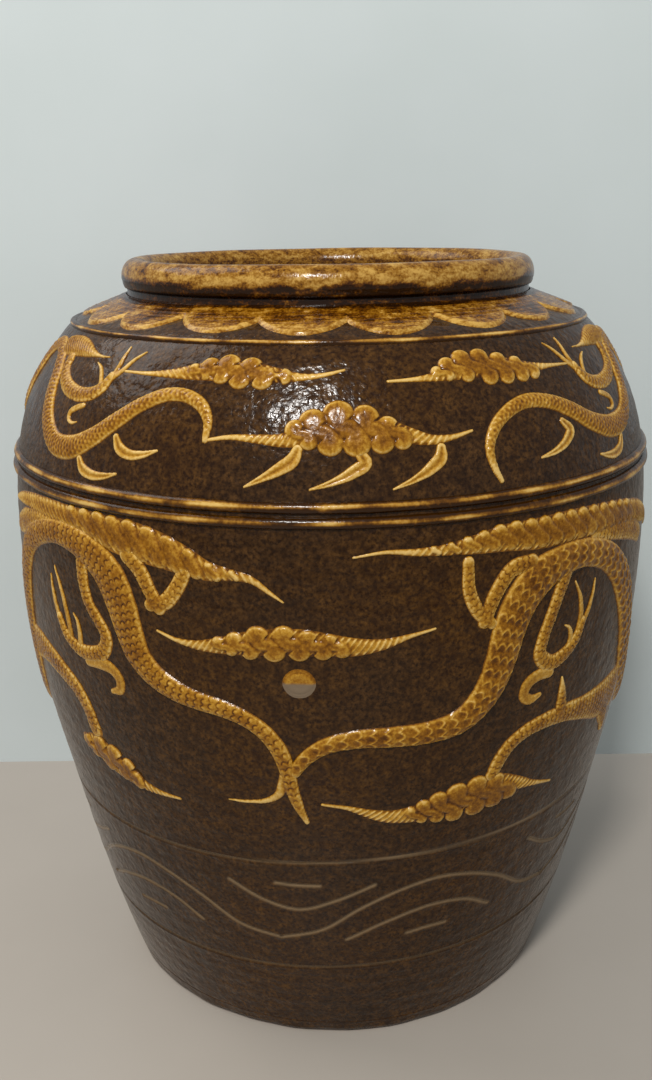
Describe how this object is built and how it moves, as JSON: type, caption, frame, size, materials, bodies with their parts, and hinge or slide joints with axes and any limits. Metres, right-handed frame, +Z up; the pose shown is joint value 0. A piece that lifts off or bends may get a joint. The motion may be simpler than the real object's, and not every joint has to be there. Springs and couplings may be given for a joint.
{
  "type": "storage jar",
  "caption": "Large open stoneware jar with swelling belly, short neck, rolled rim, brown glaze and raised golden slip dragons, clouds and waves.",
  "frame": {"origin": "centre of the foot, on the surface the jar stands on", "axes": "+Z up along the jar's axis, the side with the seal dab faces -Y"},
  "size_m": [0.5964, 0.6044, 0.687],
  "materials": {
    "brown_glaze": "dark mottled brown glaze, glossy",
    "slip_glaze": "golden ochre slip under clear glaze",
    "rim_glaze": "honey speckled glaze, glossy",
    "neck_glaze": "very dark glaze pooled under the rim",
    "raw_clay": "fired clay, thinly glazed, rough"
  },
  "bodies": {
    "root": {"base_slab": "raw_clay", "belly_wall": "brown_glaze", "belt_ridge_lower": "slip_glaze", "belt_ridge_upper": "slip_glaze", "centre_licks": "slip_glaze", "cloud_lower_back": "slip_glaze", "cloud_lower_centre": "slip_glaze", "cloud_lower_left": "slip_glaze", "cloud_lower_right": "slip_glaze", "cloud_upper_back": "slip_glaze", "cloud_upper_centre": "slip_glaze", "cloud_upper_left": "slip_glaze", "cloud_upper_right": "slip_glaze", "collar_wall": "brown_glaze", "lower_left_dragon_body": "slip_glaze", "lower_left_dragon_claws": "slip_glaze", "lower_left_dragon_crest": "slip_glaze", "lower_left_dragon_head": "slip_glaze", "lower_left_dragon_hind_leg": "slip_glaze", "lower_left_dragon_knee": "slip_glaze", "lower_left_dragon_leg": "slip_glaze", "lower_left_dragon_spur": "slip_glaze", "lower_pearl": "slip_glaze", "lower_right_dragon_body": "slip_glaze", "lower_right_dragon_claws": "slip_glaze", "lower_right_dragon_crest": "slip_glaze", "lower_right_dragon_head": "slip_glaze", "lower_right_dragon_hind_leg": "slip_glaze", "lower_right_dragon_knee": "slip_glaze", "lower_right_dragon_leg": "slip_glaze", "lower_right_dragon_spur": "slip_glaze", "lower_wall": "brown_glaze", "neck_ring": "neck_glaze", "petal_collar": "slip_glaze", "rim_roll": "rim_glaze", "seal_dab": "slip_glaze", "shoulder_line": "slip_glaze", "shoulder_wall": "brown_glaze", "upper_belly_wall": "brown_glaze", "upper_left_dragon_body": "slip_glaze", "upper_left_dragon_claws": "slip_glaze", "upper_left_dragon_crest": "slip_glaze", "upper_left_dragon_head": "slip_glaze", "upper_left_dragon_leg": "slip_glaze", "upper_left_dragon_spur": "slip_glaze", "upper_left_licks": "slip_glaze", "upper_pearl": "slip_glaze", "upper_right_dragon_body": "slip_glaze", "upper_right_dragon_claws": "slip_glaze", "upper_right_dragon_crest": "slip_glaze", "upper_right_dragon_head": "slip_glaze", "upper_right_dragon_leg": "slip_glaze", "upper_right_dragon_spur": "slip_glaze", "upper_right_licks": "slip_glaze", "upper_shoulder_wall": "brown_glaze"}
  },
  "joints": []
}
